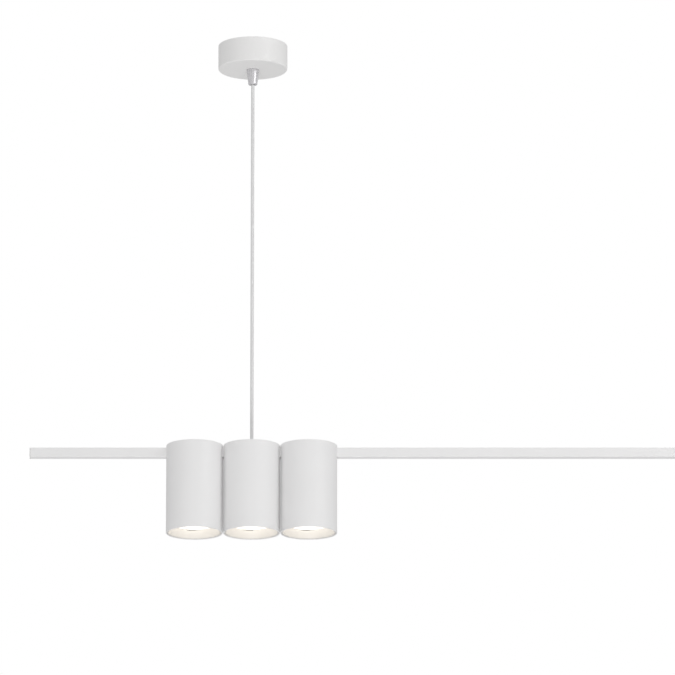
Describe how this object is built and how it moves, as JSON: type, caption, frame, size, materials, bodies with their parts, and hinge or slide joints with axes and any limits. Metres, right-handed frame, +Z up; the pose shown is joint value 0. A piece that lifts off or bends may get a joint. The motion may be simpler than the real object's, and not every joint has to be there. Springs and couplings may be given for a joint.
{
  "type": "pendant spotlight bar",
  "caption": "Hanging light with cylindrical downlight spots side by side on a slim square bar, hung by one straight cord from a round ceiling canopy.",
  "frame": {"origin": "on the ceiling plane, on the cord's axis at the centre of the canopy", "axes": "+X along the bar's long arm, +Z up to the ceiling, -Y towards the viewer"},
  "size_m": [0.6904, 0.074, 0.5372],
  "materials": {
    "canopy_paint": "satin",
    "grip_paint": "satin",
    "tube_paint": "satin",
    "bar_paint": "satin",
    "bush_paint": "satin",
    "end_plastic": "matte",
    "reflector_white": "satin",
    "lens_lit": "satin",
    "bulb_plastic": "matte",
    "led_board": "satin",
    "pin_metal": "polished",
    "holder_ceramic": "matte",
    "zinc_steel": "satin",
    "screw_steel": "satin",
    "brass": "satin",
    "block_plastic": "matte",
    "cord_white": "satin",
    "core_brown": "satin",
    "core_blue": "satin",
    "core_green_yellow": "satin"
  },
  "bodies": {
    "ceiling_rose": {"canopy_cover": "canopy_paint", "ceiling_bracket": "zinc_steel", "canopy_screws": "screw_steel", "cord_grip": "grip_paint", "grip_nut": "brass", "cord_retainer": "zinc_steel", "terminal_block": "block_plastic", "terminal_clamps": "brass", "terminal_screws": "screw_steel", "block_screw": "screw_steel", "feed_cord": "cord_white", "feed_live": "core_brown", "feed_earth": "core_green_yellow", "feed_neutral": "core_blue"},
    "cord_neck": {"cord_neck": "cord_white"},
    "hanging_cord": {"supply_cord": "cord_white", "cord_ferrule": "screw_steel"},
    "spot_bar": {"cord_bush": "bush_paint", "bar": "bar_paint", "bar_end_left": "end_plastic", "bar_end_right": "end_plastic", "ballast": "zinc_steel", "bar_live": "core_brown", "bar_neutral": "core_blue", "bar_earth": "core_green_yellow", "earth_tag": "brass", "hanger_screws": "screw_steel", "holder_screws": "screw_steel", "holder_contacts": "brass", "spot_tube_1": "tube_paint", "spot_cap_1": "tube_paint", "lamp_hanger_1": "zinc_steel", "lampholder_1": "holder_ceramic", "spot_tube_2": "tube_paint", "spot_cap_2": "tube_paint", "lamp_hanger_2": "zinc_steel", "lampholder_2": "holder_ceramic", "spot_tube_3": "tube_paint", "spot_cap_3": "tube_paint", "lamp_hanger_3": "zinc_steel", "lampholder_3": "holder_ceramic"},
    "bulb_1": {"bulb_body_1": "bulb_plastic", "bulb_lens_1": "lens_lit", "bulb_board_1": "led_board", "bulb_pins_1": "pin_metal"},
    "bezel_1": {"bezel_1": "reflector_white"},
    "bulb_2": {"bulb_body_2": "bulb_plastic", "bulb_lens_2": "lens_lit", "bulb_board_2": "led_board", "bulb_pins_2": "pin_metal"},
    "bezel_2": {"bezel_2": "reflector_white"},
    "bulb_3": {"bulb_body_3": "bulb_plastic", "bulb_lens_3": "lens_lit", "bulb_board_3": "led_board", "bulb_pins_3": "pin_metal"},
    "bezel_3": {"bezel_3": "reflector_white"}
  },
  "joints": [
    {"name": "swing_front_back", "type": "hinge", "parent": "ceiling_rose", "child": "cord_neck", "pos_m": [0, 0, -0.0432], "axis": [1, 0, 0], "range_deg": [-30, 30]},
    {"name": "swing_side_to_side", "type": "hinge", "parent": "cord_neck", "child": "hanging_cord", "pos_m": [0, 0, -0.0432], "axis": [0, 1, 0], "range_deg": [-30, 30]},
    {"name": "bar_turn", "type": "hinge", "parent": "hanging_cord", "child": "spot_bar", "pos_m": [0, 0, -0.4422], "axis": [0, 0, 1], "range_deg": [-180, 180]},
    {"name": "bulb_twist_1", "type": "hinge", "parent": "spot_bar", "child": "bulb_1", "pos_m": [-0.0604, 0, -0.4812], "axis": [0, 0, -1], "range_deg": [0, 25]},
    {"name": "bezel_twist_1", "type": "hinge", "parent": "spot_bar", "child": "bezel_1", "pos_m": [-0.0604, 0, -0.5297], "axis": [0, 0, -1], "range_deg": [0, 18]},
    {"name": "bulb_twist_2", "type": "hinge", "parent": "spot_bar", "child": "bulb_2", "pos_m": [0, 0, -0.4812], "axis": [0, 0, -1], "range_deg": [0, 25]},
    {"name": "bezel_twist_2", "type": "hinge", "parent": "spot_bar", "child": "bezel_2", "pos_m": [0, 0, -0.5297], "axis": [0, 0, -1], "range_deg": [0, 18]},
    {"name": "bulb_twist_3", "type": "hinge", "parent": "spot_bar", "child": "bulb_3", "pos_m": [0.0604, 0, -0.4812], "axis": [0, 0, -1], "range_deg": [0, 25]},
    {"name": "bezel_twist_3", "type": "hinge", "parent": "spot_bar", "child": "bezel_3", "pos_m": [0.0604, 0, -0.5297], "axis": [0, 0, -1], "range_deg": [0, 18]}
  ]
}
